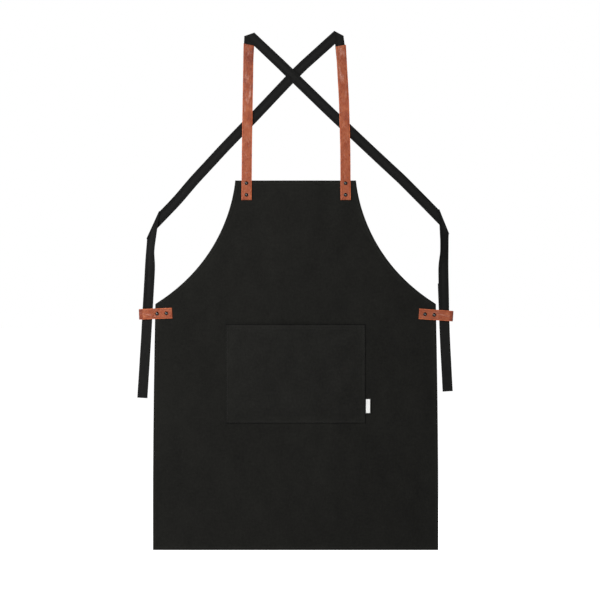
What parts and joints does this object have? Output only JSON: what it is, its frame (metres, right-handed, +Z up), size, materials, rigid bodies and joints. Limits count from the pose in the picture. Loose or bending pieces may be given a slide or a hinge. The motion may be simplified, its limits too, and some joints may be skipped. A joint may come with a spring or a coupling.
{
  "type": "artist smock apron",
  "caption": "Black canvas bib apron with riveted tan leather shoulder straps, crossed webbing ties, leather side loops and a wide front pocket.",
  "frame": {"origin": "middle of the hem, on the back face of the canvas, with the apron upright as it hangs", "axes": "+Z up from the hem to the bib, -Y out of the front, +X to the right seen from the front"},
  "size_m": [0.7714, 0.0126, 1.266],
  "materials": {
    "black_canvas": "matte",
    "black_webbing": "matte",
    "tan_leather": "satin",
    "gunmetal": "polished",
    "canvas_thread": "matte",
    "leather_thread": "matte",
    "white_label": "satin"
  },
  "bodies": {
    "skirt": {"skirt_panel": "black_canvas", "skirt_thread": "canvas_thread", "left_side_loop": "tan_leather", "right_side_loop": "tan_leather", "loop_rivet_caps": "gunmetal", "loop_rivet_backs": "gunmetal", "left_webbing_lower": "black_webbing", "right_webbing_lower": "black_webbing"},
    "bib": {"bib_panel": "black_canvas", "bib_thread": "canvas_thread", "left_strap_base": "tan_leather", "right_strap_base": "tan_leather", "strap_rivet_caps": "gunmetal", "strap_rivet_backs": "gunmetal", "left_webbing_middle": "black_webbing", "right_webbing_middle": "black_webbing"},
    "harness": {"left_strap_upper": "tan_leather", "right_strap_upper": "tan_leather", "left_strap_thread": "leather_thread", "right_strap_thread": "leather_thread", "left_webbing_upper": "black_webbing", "right_webbing_upper": "black_webbing"},
    "hem": {"hem_panel": "black_canvas", "hem_thread": "canvas_thread"},
    "pocket": {"pocket_panel": "black_canvas", "pocket_thread": "canvas_thread"},
    "label": {"pocket_label": "white_label"},
    "left_tie": {"left_tie": "black_webbing"},
    "right_tie": {"right_tie": "black_webbing"},
    "left_tail": {"left_tie_tail": "black_webbing"},
    "right_tail": {"right_tie_tail": "black_webbing"}
  },
  "joints": [
    {"name": "bib_fold", "type": "hinge", "parent": "skirt", "child": "bib", "pos_m": [0, -0.0022, 0.683], "axis": [1, 0, 0], "range_deg": [-30, 150]},
    {"name": "harness_fold", "type": "hinge", "parent": "bib", "child": "harness", "pos_m": [0, 0.0016, 0.902], "axis": [-1, 0, 0], "range_deg": [-30, 150]},
    {"name": "hem_fold", "type": "hinge", "parent": "skirt", "child": "hem", "pos_m": [0, 0, 0.28], "axis": [1, 0, 0], "range_deg": [-30, 150]},
    {"name": "pocket_open", "type": "hinge", "parent": "skirt", "child": "pocket", "pos_m": [0, -0.0012, 0.309], "axis": [1, 0, 0], "range_deg": [0, 8]},
    {"name": "label_flip", "type": "hinge", "parent": "skirt", "child": "label", "pos_m": [0.1716, -0.00235, 0.351], "axis": [0, 0, -1], "range_deg": [0, 90]},
    {"name": "left_tie_pull", "type": "slide", "parent": "skirt", "child": "left_tie", "axis": [-0.0558, 0, -0.9984], "range_m": [-0.025, 0.06]},
    {"name": "right_tie_pull", "type": "slide", "parent": "skirt", "child": "right_tie", "axis": [0.0384, 0, -0.9993], "range_m": [-0.025, 0.06]},
    {"name": "left_tail_swing", "type": "hinge", "parent": "left_tie", "child": "left_tail", "pos_m": [-0.36533, 0.0002, 0.508], "axis": [1, 0, 0], "range_deg": [-75, 75]},
    {"name": "right_tail_swing", "type": "hinge", "parent": "right_tie", "child": "right_tail", "pos_m": [0.36472, 0.0002, 0.508], "axis": [1, 0, 0], "range_deg": [-75, 75]}
  ]
}
